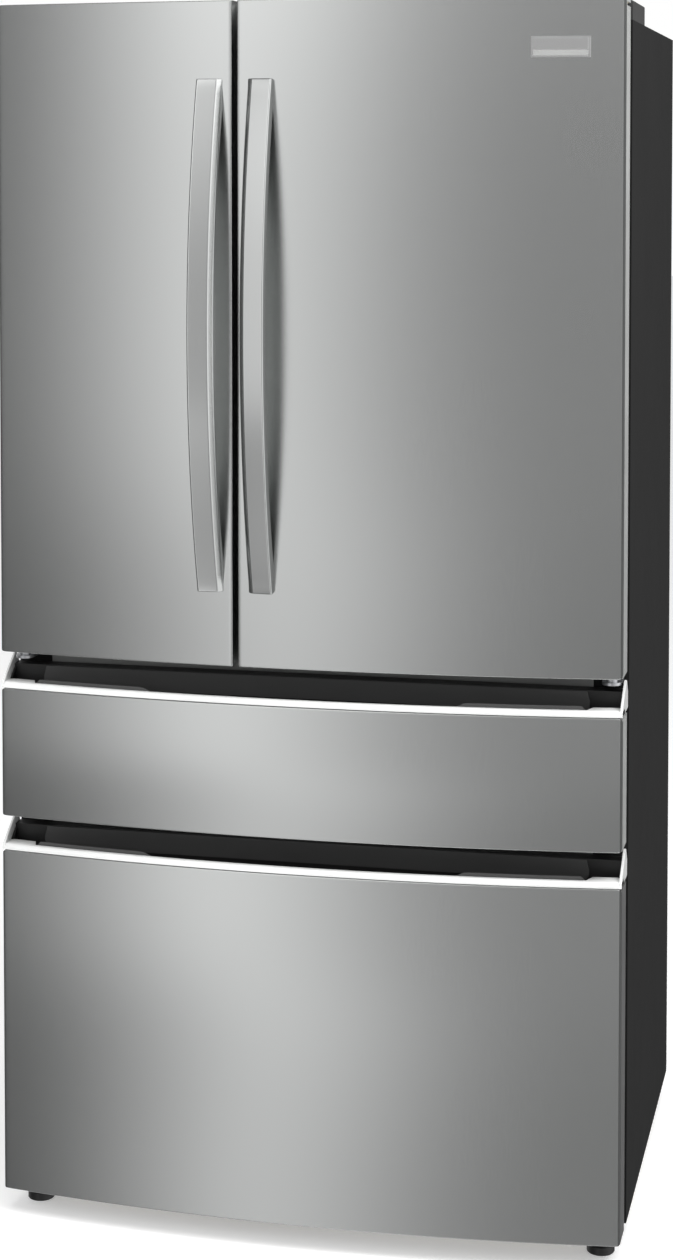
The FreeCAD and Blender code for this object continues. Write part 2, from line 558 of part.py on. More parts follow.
def fridge_inside():
    """Shelves, crispers and the air duct."""
    w = SIDE_FOAM_X - LINER
    y0 = Y_DOOR_REAR + 112
    y1 = LINER_BACK_Y - LINER - 24
    glass, frames = [], []
    spans = [(-w + 3, -4, z) for z in LEFT_SHELF_Z] + [(4, w - 3, z) for z in RIGHT_SHELF_Z]
    spans.append((-w + 1, w - 1, CRISPER_COVER_Z))
    for x0, x1, z in spans:
        frame = box(x0, x1, y0, y1, z, z + SHELF)
        pane = box(x0 + 9, x1 - 9, y0 + 9, y1 - 9, z + GLASS[0], z + GLASS[1])
        frames.append(frame.cut(pane).cut(box(x0 + 13, x1 - 13, y0 + 13, y1 - 13, z - 1, z + SHELF + 1)))
        glass.append(pane)
    parts["shelf_glass"] = Part.makeCompound(glass)
    parts["shelf_frames"] = Part.makeCompound(frames)
    z = CRISPER_COVER_Z
    crisper = open_bin(6.0, w - 12, y0 + 6, y1 - 14, FRIDGE_Z[0] + LINER + 4, z - 6, 3.0)
    grip = box(80.0, w - 90, y0 - 6, y0 + 6, z - 34, z - 26)
    parts["crispers"] = pair(fuse([crisper, grip]))

    y_wall = LINER_BACK_Y - LINER
    duct = box(-95.0, 95.0, y_wall - 20, y_wall, 900.0, 1690.0)
    slots = [box(-70.0, 70.0, y_wall - 21, y_wall - 14, z, z + 6) for z in range(1120, 1660, 90)]
    parts["duct_panel"] = duct.cut(Part.makeCompound(slots))


def fan(centre, axis, radius, blades, depth):
    """Rotor with a hub, tilted blades and its shaft. The shaft runs along axis from the rotor."""
    cx, cy, cz = centre
    hub = Part.makeCylinder(radius * 0.3, depth, V(-depth / 2, 0, 0), V(1, 0, 0))
    shaft = Part.makeCylinder(FAN_SHAFT_R, 30.0, V(0, 0, 0), V(1, 0, 0))
    pieces = [hub, shaft]
    for i in range(blades):
        blade = box(-1.2, 1.2, -radius * 0.26, radius * 0.26, radius * 0.2, radius)
        blade.rotate(V(0, 0, 0), V(0, 0, 1), 32)
        blade = blade.common(Part.makeCylinder(radius, 80, V(-40, 0, 0), V(1, 0, 0)))
        blade.rotate(V(0, 0, 0), V(1, 0, 0), i * 360 / blades)
        pieces.append(blade)
    rotor = fuse(pieces)
    if axis == "Y":
        rotor.rotate(V(0, 0, 0), V(0, 0, 1), 90)
    rotor.translate(V(cx, cy, cz))
    return rotor


def cooling():
    """Compressor, condenser, fans, evaporator and their covers."""
    floor = FOAM_BOTTOM_Z
    x, y = 230.0, 312.0
    pot = rod(x, y, floor + 12, 70.0, 150.0)
    pot = pot.makeFillet(26.0, [e for e in pot.Edges if e.BoundBox.ZLength < 0.01])
    feet = [rod(x + dx, y + dy, floor, 9.0, 14.0) for dx in (-62, 62) for dy in (-52, 52)]
    plate = box(x - 74, x + 74, y - 62, y + 62, floor + 14, floor + 17)
    parts["compressor"] = fuse([pot, plate] + feet)

    cx, cy, cz = CONDENSER_FAN
    coil = [box(-380.0, -200.0, 250.0, 375.0, z, z + FIN) for z in range(80, 240, 12)]
    tubes = [rod(tx, ty, floor, TUBE_R, 185.0) for tx in (-365, -320, -260, -215) for ty in (270, 312, 355)]
    parts["condenser"] = fuse(coil + tubes)
    parts["condenser_fan"] = fan(CONDENSER_FAN, "X", 62.0, 5, 16.0)
    motor = tube(cx + 16, cy, cz, 24.0, FAN_BORE_R, 40.0, V(1, 0, 0))
    post = box(cx + 30, cx + 42, cy - 12, cy + 12, floor, cz - 20)
    cond_motor = fuse([motor, post])

    ex, ey, ez = EVAPORATOR_FAN
    y_wall = LINER_BACK_Y - LINER
    evap_motor = tube(ex, ey + 14, ez, 20.0, FAN_BORE_R, 24.0, V(0, 1, 0))
    bracket = box(ex - 40, ex + 40, ey + 30, y_wall, ez - 8, ez + 8)
    evap_motor = fuse([evap_motor, bracket.cut(rod(ex, ey, ez, FAN_BORE_R, 60, V(0, 1, 0)))])
    parts["fan_motors"] = Part.makeCompound([cond_motor, evap_motor])
    parts["evaporator_fan"] = fan(EVAPORATOR_FAN, "Y", 48.0, 6, 12.0)

    fins = [box(fx, fx + FIN, 276.0, 328.0, 318.0, 420.0) for fx in range(-300, 301, 20)]
    runs = [rod(-310.0, fy, fz, TUBE_R, 620.0, V(1, 0, 0)) for fy in (289, 315) for fz in (336, 370, 404)]
    parts["evaporator"] = fuse(fins + runs)
    cover = box(-SIDE_FOAM_X + 4, SIDE_FOAM_X - 4, 262.0, 266.0, STEP_Z + 4, FREEZER_BAY_Z[1] - 4)
    cover = cover.cut(rod(ex, 255.0, ez, 46.0, 20.0, V(0, 1, 0)))
    guard = [box(ex - 46, ex + 46, 262.5, 265.5, ez + dz - 1.5, ez + dz + 1.5) for dz in range(-36, 37, 12)]
    guard.append(box(ex - 2, ex + 2, 262.5, 265.5, ez - 46, ez + 46))
    parts["evaporator_cover"] = fuse([cover] + guard)

    panel = box(-X_SIDE, X_SIDE, Y_BACK - SHEET, Y_BACK, CABINET_Z[0] + 4, MACHINE_TOP_Z + 4)
    vents = [box(vx, vx + 40, Y_BACK - 3, Y_BACK + 1, vz, vz + 5) for vx in range(-380, 341, 60)
             for vz in range(90, 221, 22)]
    parts["machine_cover"] = panel.cut(Part.makeCompound(vents))


cabinet()
base()
hinges()
door(-1, -X_SIDE, SPLIT_X - SPLIT_GAP / 2, (-398.0, -160.0), (-426.0, -101.5))
door(1, SPLIT_X + SPLIT_GAP / 2, X_SIDE, (-60.0, 398.0), (-81.5, 426.0))
mullion()
parts["left_handle"] = handle(HANDLE_X[0])
parts["right_handle"] = handle(HANDLE_X[1])
badge()
drawers()
fridge_inside()
cooling()

os.makedirs("parts", exist_ok=True)
for node, shape in parts.items():
    shape.exportStep("parts/" + node + ".step")
print(len(parts), "nodes")
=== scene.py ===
"""Looks for a French door refrigerator. Metres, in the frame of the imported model."""

import json
import math

import bmesh
import bpy
from mathutils import Euler, Matrix, Vector


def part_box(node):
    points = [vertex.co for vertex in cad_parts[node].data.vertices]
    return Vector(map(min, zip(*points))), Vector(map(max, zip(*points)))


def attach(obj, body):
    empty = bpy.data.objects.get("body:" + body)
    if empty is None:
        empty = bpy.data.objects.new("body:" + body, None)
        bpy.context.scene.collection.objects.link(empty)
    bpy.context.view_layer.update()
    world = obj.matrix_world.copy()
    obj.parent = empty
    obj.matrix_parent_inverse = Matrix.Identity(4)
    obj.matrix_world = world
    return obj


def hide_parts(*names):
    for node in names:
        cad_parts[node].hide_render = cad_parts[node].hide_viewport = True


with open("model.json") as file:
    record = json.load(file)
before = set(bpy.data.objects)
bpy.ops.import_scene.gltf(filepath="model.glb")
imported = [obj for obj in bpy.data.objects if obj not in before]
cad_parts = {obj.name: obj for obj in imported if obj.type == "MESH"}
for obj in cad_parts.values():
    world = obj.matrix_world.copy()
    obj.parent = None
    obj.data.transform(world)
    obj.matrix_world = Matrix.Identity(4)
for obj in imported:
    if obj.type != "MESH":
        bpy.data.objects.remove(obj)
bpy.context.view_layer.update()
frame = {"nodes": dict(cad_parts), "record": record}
NODES = frame["nodes"]

# ---------------------------------------------------------------- camera

CAMERA_PLACE = (0.830, -3.721, 1.556)
CAMERA_YAW = 12.873             # degrees, turned towards -X
CAMERA_PITCH = 2.685            # degrees, below the horizon
CAMERA_SENSOR = 36.0            # mm, along the picture's long side
CAMERA_LENS = 71.0971           # mm
CAMERA_SHIFT = -0.28            # of the long side


def make_camera():
    data = bpy.data.cameras.new("camera")
    data.sensor_width = CAMERA_SENSOR
    data.lens = CAMERA_LENS
    data.shift_y = CAMERA_SHIFT
    camera = bpy.data.objects.new("camera", data)
    camera.location = CAMERA_PLACE
    camera.rotation_euler = Euler((math.radians(90 - CAMERA_PITCH), 0, math.radians(CAMERA_YAW)), "XYZ")
    bpy.context.scene.collection.objects.link(camera)
    bpy.context.scene.camera = camera


# ---------------------------------------------------------------- node helpers

NOISE_SPAN = (0.3, 0.7)         # the part of a noise texture's range that variation follows


class Surface:
    """A Principled material with procedural variation."""

    def __init__(self, name, **sockets):
        self.material = bpy.data.materials.new(name)
        self.material.use_nodes = True
        self.tree = self.material.node_tree
        self.shader = self.tree.nodes["Principled BSDF"]
        for socket, value in sockets.items():
            self.shader.inputs[socket.replace("_", " ")].default_value = value
        self.place = self.node("ShaderNodeTexCoord").outputs["Object"]

    def node(self, kind, **settings):
        made = self.tree.nodes.new(kind)
        for key, value in settings.items():
            setattr(made, key, value)
        return made

    def link(self, source, target):
        self.tree.links.new(source, target)

    def noise(self, scale, detail, stretch=(1, 1, 1)):
        """Noise whose cells measure 1/scale metres, divided by stretch along each axis."""
        mapping = self.node("ShaderNodeMapping")
        mapping.inputs["Scale"].default_value = stretch
        texture = self.node("ShaderNodeTexNoise")
        texture.inputs["Scale"].default_value = scale
        texture.inputs["Detail"].default_value = detail
        self.link(self.place, mapping.inputs["Vector"])
        self.link(mapping.outputs["Vector"], texture.inputs["Vector"])
        return texture.outputs["Fac"]

    def ramp(self, value, stops):
        """A colour ramp through (position, colour) stops."""
        ramp = self.node("ShaderNodeValToRGB")
        marks = ramp.color_ramp.elements
        while len(marks) < len(stops):
            marks.new(0.5)
        for mark, (position, colour) in zip(marks, stops):
            mark.position = position
            mark.color = (*colour, 1.0)
        self.link(value, ramp.inputs["Fac"])
        return ramp.outputs["Color"]

    def spread(self, value, low, high):
        """Maps a noise value to the span low..high."""
        span = self.node("ShaderNodeMapRange")
        for socket, number in zip(("From Min", "From Max", "To Min", "To Max"), (*NOISE_SPAN, low, high)):
            span.inputs[socket].default_value = number
        self.link(value, span.inputs["Value"])
        return span.outputs["Result"]

    def colour(self, value, dark, light):
        stops = list(zip(NOISE_SPAN, (dark, light)))
        self.link(self.ramp(value, stops), self.shader.inputs["Base Color"])

    def roughness(self, value, low, high):
        self.link(self.spread(value, low, high), self.shader.inputs["Roughness"])

    def bump(self, value, depth, strength):
        """Raises the surface by up to depth metres."""
        node = self.node("ShaderNodeBump")
        node.inputs["Strength"].default_value = strength
        node.inputs["Distance"].default_value = depth
        self.link(value, node.inputs["Height"])
        self.link(node.outputs["Normal"], self.shader.inputs["Normal"])


def tint(colour, factor):
    return tuple(channel * factor for channel in colour)


# ---------------------------------------------------------------- materials

GRAIN_SCALE = 3200.0


def brushed_metal(name, colour, roughness, stretch, depth=4e-7):
    """Metal with fine parallel scratches. stretch is small along the grain."""
    surface = Surface(name, Metallic=1.0)
    grain = surface.noise(GRAIN_SCALE, 4.0, stretch)
    surface.colour(grain, tint(colour, 0.97), tint(colour, 1.03))
    surface.roughness(grain, roughness - 0.02, roughness + 0.02)
    surface.bump(grain, depth, 0.6)
    return surface.material


def paint(name, colour, roughness, texture_scale=900.0, depth=3e-5, coat=0.0):
    """Painted sheet with a fine orange-peel or leather-grain texture."""
    surface = Surface(name, Coat_Weight=coat, Coat_Roughness=0.3)
    patches = surface.noise(7.0, 3.0)
    surface.colour(patches, tint(colour, 0.93), tint(colour, 1.07))
    surface.roughness(patches, roughness - 0.04, roughness + 0.04)
    surface.bump(surface.noise(texture_scale, 2.0), depth, 0.35)
    return surface.material


def plastic(name, colour, roughness, texture_scale=2500.0, depth=8e-6):
    """Moulded plastic with a slight cloudiness and a fine spark-eroded texture."""
    surface = Surface(name)
    cloud = surface.noise(11.0, 2.0)
    surface.colour(cloud, tint(colour, 0.95), tint(colour, 1.05))
    surface.roughness(cloud, roughness - 0.03, roughness + 0.03)
    surface.bump(surface.noise(texture_scale, 2.0), depth, 0.3)
    return surface.material


def clear(name, colour, roughness):
    """Clear polystyrene or glass with faint waviness."""
    surface = Surface(name, Transmission_Weight=0.92, IOR=1.5)
    wave = surface.noise(14.0, 2.0)
    surface.colour(wave, tint(colour, 0.97), colour)
    surface.roughness(wave, roughness, roughness + 0.03)
    surface.bump(wave, 4e-4, 0.15)
    return surface.material


STEEL_GREY = (0.62, 0.63, 0.625)
ALONG_X = (0.02, 1.0, 1.0)
ALONG_Z = (1.0, 1.0, 0.02)
EVEN = (0.3, 0.3, 0.3)

MATERIALS = {
    "stainless": brushed_metal("brushed_steel", STEEL_GREY, 0.25, ALONG_Z),
    "handle_metal": brushed_metal("satin_handle", (0.66, 0.67, 0.665), 0.21, ALONG_Z, depth=2e-7),
    "bright_trim": paint("bright_trim", (0.74, 0.745, 0.74), 0.25, 1500.0, 2e-6, 0.6),
    "badge_metal": brushed_metal("badge_metal", (0.9, 0.9, 0.9), 0.3, ALONG_X),
    "zinc_steel": brushed_metal("zinc_steel", (0.6, 0.61, 0.63), 0.38, EVEN),
    "fin_metal": brushed_metal("fin_metal", (0.8, 0.81, 0.83), 0.3, ALONG_X),
    "door_grey": paint("door_side_grey", (0.30, 0.305, 0.30), 0.4, 1800.0, 1e-5),
    "charcoal": paint("charcoal_cabinet", (0.013, 0.013, 0.013), 0.62, 700.0, 6e-5),
    "black_metal": paint("black_enamel", (0.012, 0.012, 0.013), 0.3),
    "black_plastic": plastic("black_plastic", (0.011, 0.011, 0.011), 0.5),
    "dark_plastic": plastic("dark_plastic", (0.035, 0.035, 0.035), 0.5),
    "white_plastic": plastic("white_liner", (0.8, 0.82, 0.82), 0.24, 600.0, 4e-6),
    "clear_plastic": clear("clear_bin", (0.93, 0.97, 0.98), 0.06),
    "shelf_glass": clear("shelf_glass", (0.86, 0.96, 0.92), 0.02),
    "insulation": plastic("foam", (0.72, 0.6, 0.32), 0.8, 500.0, 3e-4),
    "seal_rubber": plastic("seal_rubber", (0.16, 0.16, 0.165), 0.6, 1200.0, 2e-5),
}
EDGE_DARK = plastic("edge_dark", (0.045, 0.047, 0.046), 0.45)
POCKET_GREY = plastic("pocket_wall", (0.062, 0.062, 0.062), 0.55)
# Painted shade: a darker copy of the door sides' grey paint, which stands in for the shade on the low freezer
# drawer's side
FREEZER_SIDE_PAINTED_SHADE = paint("freezer_side_painted_shade", (0.10, 0.10, 0.10), 0.45, 1800.0, 1e-5)
CHARCOAL_SPECULAR = 0.15        # low, so that the cabinet's sides stay dark under the studio
charcoal_shader = MATERIALS["charcoal"].node_tree.nodes["Principled BSDF"]
charcoal_shader.inputs["Specular IOR Level"].default_value = CHARCOAL_SPECULAR


def dress_cad():
    """Gives every CAD node the material of its slot."""
    for part in frame["record"]["subparts"]:
        mesh = NODES[part["node"]].data
        mesh.materials.clear()
        mesh.materials.append(MATERIALS[part["material_slot"]])
    # painted shade: the freezer drawer's side gets the darker copy of the door sides' grey paint
    NODES["freezer_drawer_frame"].data.materials[0] = FREEZER_SIDE_PAINTED_SHADE


# ---------------------------------------------------------------- mesh helpers

SHARP = math.radians(35)        # edges that turn by more are sharp, and are the ones that get rounded


def finish_piece(name, bm, slot, body, replaced=(), bevel=0.0, segments=3, material=None):
    """Turns a bmesh into a piece that rides on a body and stands for CAD nodes."""
    bmesh.ops.recalc_face_normals(bm, faces=bm.faces)
    mesh = bpy.data.meshes.new(name)
    bm.to_mesh(mesh)
    bm.free()
    mesh.materials.append(material or MATERIALS[slot])
    piece = bpy.data.objects.new(name, mesh)
    bpy.context.scene.collection.objects.link(piece)
    mesh.shade_smooth()
    mesh.set_sharp_from_angle(angle=SHARP)
    if bevel:
        rounding = piece.modifiers.new("rounding", "BEVEL")
        rounding.width = bevel
        rounding.segments = segments
        rounding.limit_method = "ANGLE"
        rounding.angle_limit = SHARP
        rounding.harden_normals = True
    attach(piece, body)
    if replaced:
        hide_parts(*replaced)


# ---------------------------------------------------------------- fronts

WIDE_LOW, WIDE_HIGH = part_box("freezer_drawer_skin")
HALF_WIDTH = WIDE_HIGH.x
CROWN_FRONT = WIDE_LOW.y
SKIN_REAR = WIDE_HIGH.y
SKIN_RETURN = 0.006
CORNER_Y = SKIN_REAR - SKIN_RETURN
CROWN = CORNER_Y - CROWN_FRONT
CROWN_RADIUS = (HALF_WIDTH ** 2 + CROWN ** 2) / (2 * CROWN)


def crown_y(x):
    """Y of the crowned front at x."""
    return CORNER_Y - (math.sqrt(CROWN_RADIUS ** 2 - x ** 2) - (CROWN_RADIUS - CROWN))


def columns(x0, x1, step=0.012):
    """Evenly spaced places from x0 to x1, about a step apart."""
    count = max(2, round((x1 - x0) / step))
    return [x0 + (x1 - x0) * i / count for i in range(count + 1)]


EDGE = 0.003                    # width of the dark strip along a front's outer edges
CORNER_RADIUS = 0.006           # of a front's outer corners, seen from the front


def shortfall(distance, radius=CORNER_RADIUS):
    """How far a rounded corner falls short of its square one, at a distance from the edge."""
    inside = max(radius - distance, 0.0)
    return radius - math.sqrt(radius ** 2 - inside ** 2)


def prism(bm, loops, closed=True):
    """Skins a row of vertex loops and closes both ends. Open loops leave out the last side of each."""
    size = len(loops[0])
    for a, b in zip(loops, loops[1:]):
        for j in range(size if closed else size - 1):
            bm.faces.new((a[j], a[(j + 1) % size], b[(j + 1) % size], b[j]))
    bm.faces.new(loops[0])
    bm.faces.new(loops[-1])


SHEET = 0.0012                  # thickness of a front's bent sheet
FRONT_ROUND = 0.002             # its bend radius
TOP_RETURN = 0.0025             # depth of a drawer front's upper return, which the trough cuts short
SAME_PLACE = 0.0002             # a front's side nearer than this to the crown's end is an outer one
ROUNDING_ROOM = 0.006           # beside a side edge, kept for the closer columns of its rounding


def sheet_outline(front, bottom, top, top_rear, radius):
    """(y, z) points of a bent sheet's outside, from its lower rear edge round the face to the upper one."""
    points = [(SKIN_REAR, bottom)]
    turns = [math.pi / 2 * i / 4 for i in range(5)]
    for turn in turns:
        points.append((front + radius * (1 - math.sin(turn)), bottom + radius * (1 - math.cos(turn))))
    for turn in turns:
        points.append((front + radius * (1 - math.cos(turn)), top - radius * (1 - math.sin(turn))))
    return points + [(top_rear, top)]


def skin(node, body, top_return=None):
    """Bent sheet: crowned face with returns all round, and a dark strip along each outer edge."""
    low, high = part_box(node)
    outer_sides = [side for side, x in ((-1, low.x), (1, high.x)) if abs(abs(x) - HALF_WIDTH) < SAME_PLACE]
    x0 = low.x + (EDGE if -1 in outer_sides else 0)
    x1 = high.x - (EDGE if 1 in outer_sides else 0)
    rounding = [FRONT_ROUND * share for share in (0.12, 0.35, 0.65, 1.0)]
    places = columns(x0 + ROUNDING_ROOM, x1 - ROUNDING_ROOM)
    places = [x0] + [x0 + step for step in rounding] + places
    places += [x1 - step for step in reversed(rounding)] + [x1]
    bm = bmesh.new()
    layers = []
    for inset in (0.0, SHEET):
        loops = []
        for x in places:
            x = min(max(x, x0 + inset), x1 - inset)
            front = crown_y(x) + inset
            for side, edge in ((-1, x0), (1, x1)):
                if side not in outer_sides:
                    front += shortfall(abs(x - edge), FRONT_ROUND)
            drop = shortfall(HALF_WIDTH - abs(x)) if outer_sides else 0.0
            top_rear = SKIN_REAR if top_return is None else front + top_return
            bottom, top = low.z + drop + inset, high.z - drop - inset
            outline = sheet_outline(front, bottom, top, top_rear, FRONT_ROUND - inset)
            loops.append([bm.verts.new((x, y, z)) for y, z in outline])
        prism(bm, loops, closed=False)
        layers.append(loops)
    outside, inside = layers
    for j in (0, -1):
        for i in range(len(places) - 1):
            bm.faces.new((outside[i][j], outside[i + 1][j], inside[i + 1][j], inside[i][j]))
    for i in (0, -1):
        bm.faces.new((outside[i][0], inside[i][0], inside[i][-1], outside[i][-1]))
    bmesh.ops.remove_doubles(bm, verts=bm.verts, dist=1e-6)
    finish_piece(node + "_sheet", bm, "stainless", body, [node])
    for side in outer_sides:
        edge_strip(node, body, side, low.z, high.z)


def edge_strip(node, body, side, z0, z1):
    """Quarter-round dark strip on the outer edge of a front."""
    plan = []
    steps = 6
    for i in range(steps + 1):
        turn = math.pi / 2 * i / steps
        inset = EDGE * (1 - math.sin(turn))
        plan.append((inset, EDGE * (1 - math.cos(turn))))
    plan += [(0.0, SKIN_RETURN), (EDGE, SKIN_RETURN)]
    bm = bmesh.new()
    loops = []
    for end in (0, 1):
        loop = []
        for inset, back in plan:
            x = side * (HALF_WIDTH - inset)
            drop = shortfall(inset)
            loop.append(bm.verts.new((x, crown_y(x) + back, z1 - drop if end else z0 + drop)))
        loops.append(loop)
    prism(bm, loops)
    name = "%s_edge_%s" % (node, "right" if side > 0 else "left")
    finish_piece(name, bm, "dark_plastic", body, material=EDGE_DARK)


HANDLE_THICK = 0.013            # at the middle of the bow
HANDLE_END = 0.009              # front of a handle's end to the skin
HANDLE_FOOT = 0.042             # length of each end that rests on the skin
HANDLE_ROUND = 0.002            # of the bar's outer edges
FRONT_TURN = math.radians(5.5)  # the bar's front turns this far towards the split
FACET_TURN = math.radians(52)   # and the facet beside it this far
FACET = 0.0066                  # width of the facet, seen from the front
RIDGE = 0.0008                  # width of the softened edge between them
FACET_LIP = 0.0004              # the facet's last point lies this much deeper than its slope
HANDLE_CLEAR = 0.0006           # the facet stays at least this far in front of the skin
HANDLE_STEPS = 72


def handle_section(width):
    """(across, depth) points of a bar's front, from its outer side to the split's side."""
    points = []
    for i in range(5):
        turn = math.pi / 2 * i / 4
        points.append((HANDLE_ROUND * (1 - math.cos(turn)), HANDLE_ROUND * (1 - math.sin(turn))))
    ridge = width - FACET
    fall = (ridge - HANDLE_ROUND) * math.tan(FRONT_TURN)
    for across in (HANDLE_ROUND + RIDGE, ridge - 1.5 * RIDGE, ridge - RIDGE / 2):
        points.append((across, (across - HANDLE_ROUND) * math.tan(FRONT_TURN)))
    points.append((ridge + RIDGE / 2, fall + RIDGE / 2 * math.tan(FACET_TURN)))
    depth = fall + FACET * math.tan(FACET_TURN)
    for across in (ridge + 1.5 * RIDGE, width - 3 * RIDGE, width - RIDGE / 2):
        points.append((across, depth - (width - across) * math.tan(FACET_TURN)))
    points.append((width, depth + FACET_LIP))
    return points


def bowed_handle(node, body, split_side):
    """Bowed bar: a broad front turned a little towards the split, and a facet on the split's side."""
    low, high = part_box(node)
    z0, z1 = low.z, high.z
    middle = (z0 + z1) / 2
    centre = (low.x + high.x) / 2
    half = (high.x - low.x) / 2
    skin_y = crown_y(centre)
    rise = skin_y - low.y
    bow = rise - HANDLE_END
    radius = (((z1 - z0) / 2) ** 2 + bow ** 2) / (2 * bow)
    inner_half = (z1 - z0) / 2 - HANDLE_FOOT
    inner_rise = rise - HANDLE_THICK
    inner_radius = (inner_half ** 2 + inner_rise ** 2) / (2 * inner_rise)
    section = handle_section(half * 2)

    def inner_y(x, z):
        if abs(z - middle) >= inner_half:
            return crown_y(x)
        reach = inner_radius - math.sqrt(inner_radius ** 2 - (z - middle) ** 2)
        return min(skin_y - inner_rise + reach, crown_y(x))

    turns = [math.pi / 2 * i / 4 for i in range(4)]
    ends = [(HANDLE_ROUND * (1 - math.cos(turn)), HANDLE_ROUND * (1 - math.sin(turn))) for turn in turns]
    span = z1 - z0 - 2 * HANDLE_ROUND
    places = [(z0 + step, sink) for step, sink in ends]
    places += [(z0 + HANDLE_ROUND + span * i / HANDLE_STEPS, 0.0) for i in range(HANDLE_STEPS + 1)]
    places += [(z1 - step, sink) for step, sink in reversed(ends)]
    bm = bmesh.new()
    loops = []
    for z, sink in places:
        front = skin_y - rise + radius - math.sqrt(radius ** 2 - (z - middle) ** 2) + sink
        squeeze = 1 - sink / half
        room = crown_y(centre + split_side * half) - HANDLE_CLEAR - front
        flatten = min(1.0, room / section[-1][1])
        loop = []
        for across, depth in section:
            x = centre + split_side * (across - half) * squeeze
            loop.append(bm.verts.new((x, front + depth * flatten, z)))
        for side in (1, -1):
            x = centre + split_side * side * half * squeeze
            loop.append(bm.verts.new((x, inner_y(x, z), z)))
        loops.append(loop)
    prism(bm, loops)
    finish_piece(node + "_bar", bm, "handle_metal", body, [node])


TRIM_GAP = 0.0009               # dark line between a skin and its trim
# (depth, height) points of its face: upright at the foot, a step, and a slope back to the top
TRIM_FACE = [(0.0, 0.0), (0.0, 0.0030), (0.0006, 0.0034), (0.0007, 0.0038), (0.0034, 0.0077),
             (0.0044, 0.0081)]
TRIM_HEIGHT = 0.009
TRIM_DEPTH = 0.011
TRIM_DEEP_X = 0.4085            # the trim is deeper outside this, up to the wings
TRIM_DEEP = 0.029
TRIM_STEP = 0.0035              # columns stand this far on either side of the change of depth
TRIM_REAR = 0.040               # the furthest the trim reaches behind a front's side corners
TRIM_REAR_FOOT = 0.002          # its rear edge's lower side, above the CAD box's floor
TRIM_ROUND = 0.0005
WING_THICK = 0.004
WING_ROUND = 0.0012
WING_TOP = (0.050, 0.056)       # a wing's top edge, behind a front's side corners
WING_REAR_HEIGHT = 0.025


def trim(node, body):
    """Bright trim along a drawer's top edge, with a slanted wing at each end."""
    low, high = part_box(node)
    z = low.z
    bm = bmesh.new()
    loops = []
    places = columns(low.x, high.x, 0.01)
    places += [side * (TRIM_DEEP_X + shift) for side in (-1, 1) for shift in (-TRIM_STEP, TRIM_STEP)]
    for x in sorted(places):
        front = crown_y(x)
        depth = TRIM_DEEP if abs(x) > TRIM_DEEP_X else TRIM_DEPTH
        rear = min(front + depth, CORNER_Y + TRIM_REAR)
        outline = [(front + y, z + TRIM_GAP + h) for y, h in TRIM_FACE]
        outline += [(rear, z + TRIM_HEIGHT), (rear, z + TRIM_REAR_FOOT)]
        loops.append([bm.verts.new((x, y, h)) for y, h in outline])
    prism(bm, loops)
    finish_piece(node + "_rail", bm, "bright_trim", body, [node], TRIM_ROUND, 2)
    outline = [(CORNER_Y, z + TRIM_GAP), (CORNER_Y, z + TRIM_HEIGHT)]
    outline += [(CORNER_Y + y, high.z) for y in WING_TOP]
    outline += [(high.y, z + WING_REAR_HEIGHT), (high.y, z + TRIM_GAP)]
    for side, x in (("left", low.x), ("right", high.x - WING_THICK)):
        bm = bmesh.new()
        loops = [[bm.verts.new((x + shift, y, h)) for y, h in outline] for shift in (0.0, WING_THICK)]
        prism(bm, loops)
        finish_piece(node + "_wing_" + side, bm, "bright_trim", body, [node], WING_ROUND, 3)


WALL_Y = 0.045                  # a trough's rear wall, behind a front's side corners
WALL_HALF = 0.405               # half its width
WALL_TAPER = 0.004              # its top is narrower by this at each end
WALL_SUNK = 0.004               # its foot, below the skin's top
WALL_CLEAR = 0.001              # its top, below the trough's
WALL_CORNER = 0.012
WALL_THICK = 0.0018
POCKET_ROUND = 0.0008
LIP_X = (0.222, 0.404)          # span of a finger lip, from the middle
LIP_RAMPS = (0.014, 0.006)      # its ends slope down over these lengths, inner and outer
LIP_LOW = 0.0075                # its height at the ends, above the skin's top
LIP_RISE = 0.0065               # and how much higher it is between them
LIP_BACK = 0.0112               # its front, behind the skin's
LIP_THICK = 0.003
LIP_SUNK = 0.002                # its foot, below the skin's top


def pocket_details(drawer):
    """Lighter rear wall and two finger lips in the trough of a drawer."""
    skin_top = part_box(drawer + "_skin")[1].z
    wall_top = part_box(drawer + "_pocket")[1].z - WALL_CLEAR
    wall_y = CORNER_Y + WALL_Y
    outline = [(WALL_HALF - WALL_TAPER, wall_top), (WALL_HALF, skin_top + WALL_CORNER)]
    for i in range(7):
        turn = math.pi / 2 * i / 6
        x = WALL_HALF - WALL_CORNER * (1 - math.cos(turn))
        outline.append((x, skin_top - WALL_SUNK + WALL_CORNER * (1 - math.sin(turn))))
    outline += [(-x, z) for x, z in reversed(outline)]
    bm = bmesh.new()
    prism(bm, [[bm.verts.new((x, wall_y - depth, z)) for x, z in outline] for depth in (0.0, WALL_THICK)])
    finish_piece(drawer + "_pocket_wall", bm, "dark_plastic", drawer, bevel=POCKET_ROUND, material=POCKET_GREY)
    for side in (-1, 1):
        bm = bmesh.new()
        loops = []
        for x in columns(LIP_X[0], LIP_X[1], 0.006):
            ramp = min((x - LIP_X[0]) / LIP_RAMPS[0], (LIP_X[1] - x) / LIP_RAMPS[1], 1.0)
            foot = skin_top - LIP_SUNK
            top = skin_top + LIP_LOW + LIP_RISE * max(ramp, 0.0)
            front = crown_y(x) + LIP_BACK
            rear = front + LIP_THICK
            outline = [(front, foot), (front, top), (rear, top), (rear, foot)]
            loops.append([bm.verts.new((side * x, y, z)) for y, z in outline])
        prism(bm, loops)
        name = "%s_finger_lip_%s" % (drawer, "right" if side > 0 else "left")
        finish_piece(name, bm, "dark_plastic", drawer, bevel=POCKET_ROUND, material=POCKET_GREY)


